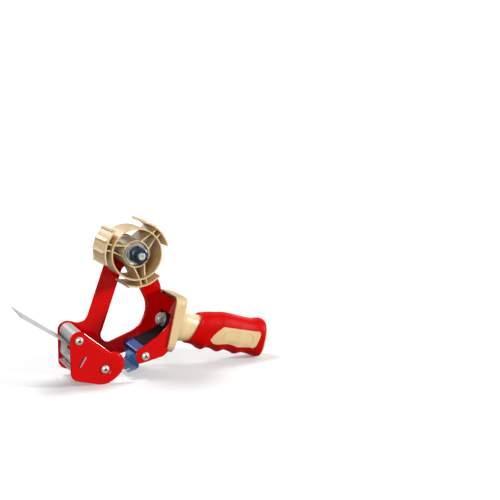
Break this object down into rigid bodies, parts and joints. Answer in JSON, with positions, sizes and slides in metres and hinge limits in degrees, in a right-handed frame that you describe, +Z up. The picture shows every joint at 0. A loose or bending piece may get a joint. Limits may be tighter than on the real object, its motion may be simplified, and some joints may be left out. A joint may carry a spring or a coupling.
{
  "type": "hand-held packing tape dispenser",
  "caption": "Pistol-grip packing tape dispenser: steel frame, braked tape hub, front roller, guarded saw blade, film flap and spring wiper.",
  "frame": {"origin": "on the table, below the middle of the overall box, as the dispenser lies on its plates and the end of its grip", "axes": "+X from the cutting blade to the end of the grip, +Y from the open side of the tape hub to the big side plate, +Z up"},
  "size_m": [0.3057, 0.0734, 0.1824],
  "materials": {
    "red_enamel": "glossy baked enamel",
    "nickel": "bright nickel plate",
    "zinc_steel": "zinc plate",
    "roller_grey": "satin",
    "spring_steel": "oiled",
    "blade_steel": "ground",
    "guard_grey": "satin grey",
    "clear_film": "translucent film",
    "black_spring": "black",
    "blued_steel": "blued",
    "tan_plastic": "satin moulding",
    "red_rubber": "satin",
    "white_washer": "plain",
    "blue_black_nut": "blue-black plated"
  },
  "bodies": {
    "frame": {"side_frame": "red_enamel", "near_plate": "red_enamel", "near_screws": "nickel", "far_screws": "nickel", "roller_axle": "zinc_steel", "lower_tie_bar": "zinc_steel", "rear_tie_bar": "zinc_steel", "guard_spring": "spring_steel", "blade_bracket": "zinc_steel", "cutting_blade": "blade_steel", "blade_rivets": "nickel", "flap_clamp": "zinc_steel", "flap_rivets": "nickel", "wiper_arm": "black_spring", "handle_stud": "zinc_steel", "handle_nut": "nickel", "handle_washer": "nickel", "handle_core": "tan_plastic", "grip_sleeve": "red_rubber", "hub_bolt": "zinc_steel", "hub_lock_nut": "zinc_steel", "hub_spacer": "zinc_steel", "brake_washer": "white_washer", "brake_spring": "spring_steel"},
    "roller": {"front_roller": "roller_grey"},
    "guard": {"blade_guard": "guard_grey"},
    "flap": {"tape_flap": "clear_film"},
    "wiper": {"wiper_blade": "blued_steel"},
    "tape_hub": {"hub": "tan_plastic"},
    "pressure_washer": {"pressure_washer": "zinc_steel"},
    "brake_nut": {"brake_nut": "blue_black_nut"}
  },
  "joints": [
    {"name": "hub_spin", "type": "hinge", "parent": "frame", "child": "tape_hub", "pos_m": [-0.0187, 0.00225, 0.144], "axis": [0, 1, 0], "continuous": true},
    {"name": "brake_press", "type": "slide", "parent": "frame", "child": "pressure_washer", "axis": [0, 1, 0], "range_m": [-0.0007, 0.0007], "deforming": ["brake_spring"]},
    {"name": "brake_nut_turn", "type": "hinge", "parent": "pressure_washer", "child": "brake_nut", "pos_m": [-0.0187, -0.02475, 0.144], "axis": [0, 1, 0], "range_deg": [-172, 172]},
    {"name": "roller_spin", "type": "hinge", "parent": "frame", "child": "roller", "pos_m": [-0.0898, 0.00225, 0.0534], "axis": [0, 1, 0], "continuous": true},
    {"name": "guard_swing", "type": "hinge", "parent": "frame", "child": "guard", "pos_m": [-0.0898, 0.00225, 0.0534], "axis": [0, 1, 0], "range_deg": [-7, 0], "stiffness_Nm_per_rad": 0.05, "springref_deg": 11.46, "deforming": ["guard_spring"]},
    {"name": "flap_flex", "type": "hinge", "parent": "frame", "child": "flap", "pos_m": [-0.0879, 0.00225, 0.0409], "axis": [0, 1, 0], "range_deg": [-25, 0], "stiffness_Nm_per_rad": 0.02, "springref_deg": 2.86, "deforming": ["tape_flap"]},
    {"name": "wiper_flex", "type": "hinge", "parent": "frame", "child": "wiper", "pos_m": [0.0161, 0.00225, 0.0494], "axis": [0, 1, 0], "range_deg": [-5, 6], "stiffness_Nm_per_rad": 1.5, "deforming": ["wiper_arm"]}
  ],
  "couplings": [
    {"joint": "brake_press", "follows": "brake_nut_turn", "m_per_rad": 0.00019894}
  ]
}
